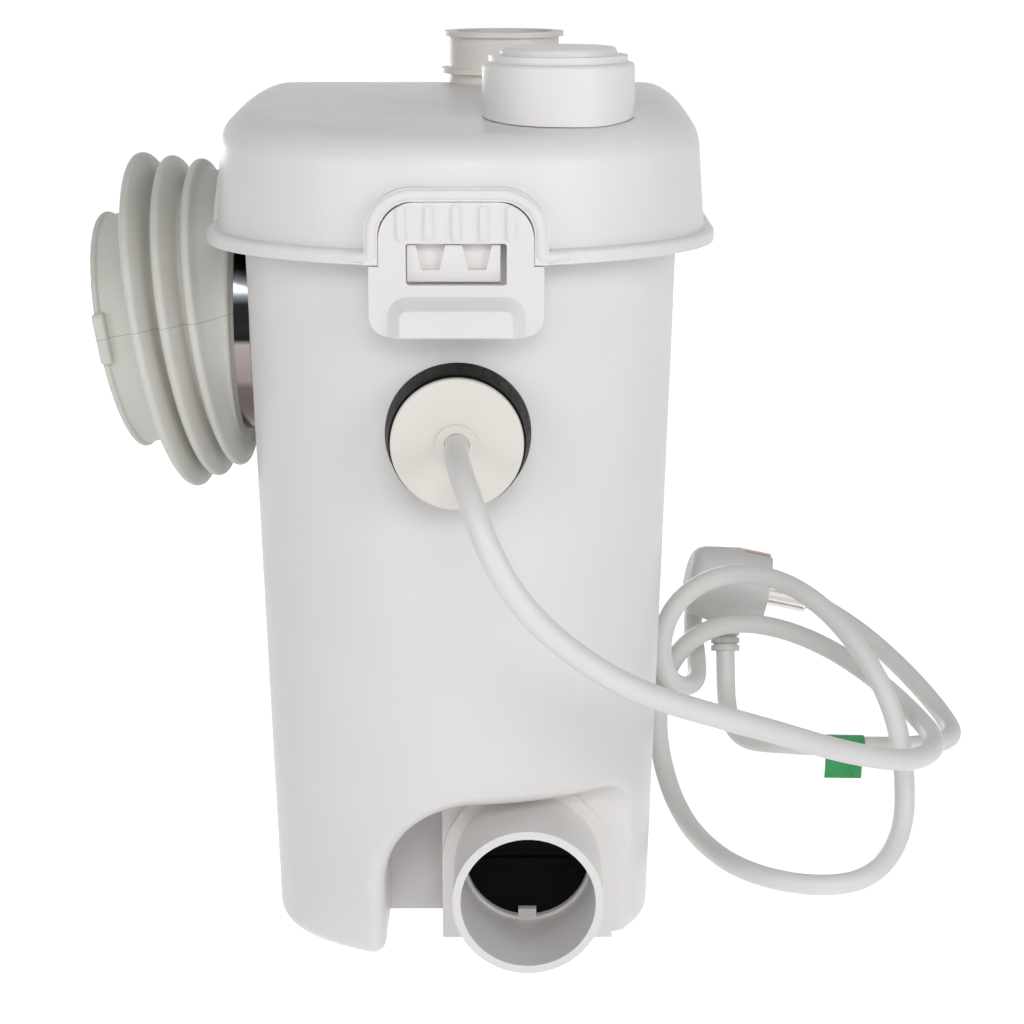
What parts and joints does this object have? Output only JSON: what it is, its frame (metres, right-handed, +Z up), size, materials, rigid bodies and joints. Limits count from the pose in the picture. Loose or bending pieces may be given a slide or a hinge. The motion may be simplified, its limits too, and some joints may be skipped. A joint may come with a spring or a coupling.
{
  "type": "macerator toilet pump",
  "caption": "White plastic macerator pump box for a toilet: rubber WC inlet at its side, low waste inlet, vented lid with latches, discharge socket, mains cord and plug.",
  "frame": {"origin": "on the floor, under the middle of the lid's outline", "axes": "+Z up, along the discharge socket; -Y out of the short end with the mains cord and the low inlet; +X to the right as that end is faced, away from the WC inlet"},
  "size_m": [0.3652, 0.3503, 0.342],
  "materials": {
    "white_plastic": "satin white moulded plastic",
    "ivory_plastic": "satin ivory moulded plastic",
    "grey_rubber": "soft pale grey rubber",
    "black_rubber": "matt black rubber",
    "stainless_steel": "polished stainless steel",
    "inner_plastic": "grey moulded plastic",
    "dark_plastic": "black moulded plastic",
    "capacitor_case": "white plastic case",
    "motor_steel": "grey lacquered steel",
    "copper": "bare copper",
    "nickel_plate": "nickel plate",
    "charcoal": "black open foam with carbon",
    "grey_pvc": "smooth pale grey PVC",
    "green_tag": "bare green film"
  },
  "bodies": {
    "tank_unit": {"tank": "white_plastic", "base_pads": "black_rubber", "lid_gasket": "black_rubber", "front_catch": "white_plastic", "rear_catch": "white_plastic", "inlet_flap_pin": "stainless_steel", "wc_bellows": "grey_rubber", "bellows_band": "stainless_steel", "band_screw": "stainless_steel", "cable_gland": "black_rubber", "cord_disc": "ivory_plastic", "cord_tail": "grey_pvc", "mains_cord": "grey_pvc", "mains_plug": "grey_pvc", "plug_pins": "nickel_plate", "plug_earth_contacts": "copper", "cord_tag": "green_tag", "pump_mounts": "black_rubber", "pump_volute": "inner_plastic", "grinder_basket": "stainless_steel", "bearing_plate": "dark_plastic", "plate_screws": "stainless_steel", "shaft_seal": "black_rubber", "lower_bearing": "stainless_steel", "motor_can": "motor_steel", "motor_stator": "motor_steel", "motor_windings": "copper", "motor_cap": "inner_plastic", "upper_bearing": "stainless_steel", "discharge_pipe": "inner_plastic", "motor_lead": "grey_pvc", "dry_box": "inner_plastic", "dry_box_cover": "inner_plastic", "dry_box_screws": "stainless_steel", "capacitor": "capacitor_case", "terminal_block": "dark_plastic", "air_bell": "inner_plastic", "pressure_chamber": "inner_plastic", "pressure_membrane": "black_rubber", "micro_switch": "dark_plastic"},
    "lid": {"lid": "white_plastic", "discharge_sleeve": "ivory_plastic", "sleeve_seal": "black_rubber", "valve_pin": "stainless_steel", "carbon_filter": "charcoal"},
    "front_latch": {"front_latch": "white_plastic"},
    "rear_latch": {"rear_latch": "white_plastic"},
    "vent_cap": {"vent_cap": "white_plastic"},
    "inlet_flap": {"inlet_flap": "black_rubber"},
    "valve_flap": {"valve_flap": "black_rubber"},
    "rotor": {"motor_shaft": "stainless_steel", "motor_rotor": "motor_steel", "impeller": "inner_plastic", "cutter_blade": "stainless_steel"},
    "pressure_plunger": {"pressure_plunger": "inner_plastic"},
    "switch_lever": {"switch_lever": "inner_plastic"}
  },
  "joints": [
    {"name": "lid_lift", "type": "slide", "parent": "tank_unit", "child": "lid", "axis": [0, 0, 1], "range_m": [0, 0.06]},
    {"name": "front_latch_swing", "type": "hinge", "parent": "lid", "child": "front_latch", "pos_m": [0, -0.1409, 0.2912], "axis": [-1, 0, 0], "range_deg": [0, 45]},
    {"name": "rear_latch_swing", "type": "hinge", "parent": "lid", "child": "rear_latch", "pos_m": [0, 0.1409, 0.2912], "axis": [1, 0, 0], "range_deg": [0, 45]},
    {"name": "vent_cap_lift", "type": "slide", "parent": "lid", "child": "vent_cap", "axis": [0, 0, 1], "range_m": [0, 0.03]},
    {"name": "inlet_flap_swing", "type": "hinge", "parent": "tank_unit", "child": "inlet_flap", "pos_m": [0.0253, -0.0882, 0.063], "axis": [1, 0, 0], "range_deg": [0, 60]},
    {"name": "discharge_flap_swing", "type": "hinge", "parent": "lid", "child": "valve_flap", "pos_m": [-0.0005, 0.055, 0.3007], "axis": [0, -1, 0], "range_deg": [0, 50]},
    {"name": "motor_spin", "type": "hinge", "parent": "tank_unit", "child": "rotor", "pos_m": [0, 0.058, 0.1], "axis": [0, 0, 1], "continuous": true},
    {"name": "plunger_lift", "type": "slide", "parent": "tank_unit", "child": "pressure_plunger", "axis": [0, 0, 1], "range_m": [0, 0.0025], "stiffness_N_per_m": 200},
    {"name": "switch_lever_swing", "type": "hinge", "parent": "tank_unit", "child": "switch_lever", "pos_m": [-0.032, -0.084, 0.1609], "axis": [0, -1, 0], "range_deg": [0, 10.5]}
  ],
  "couplings": [
    {"joint": "front_latch_swing", "follows": "lid_lift", "rad_per_m": 13.08},
    {"joint": "rear_latch_swing", "follows": "lid_lift", "rad_per_m": 13.08},
    {"joint": "switch_lever_swing", "follows": "plunger_lift", "rad_per_m": 71.4}
  ]
}
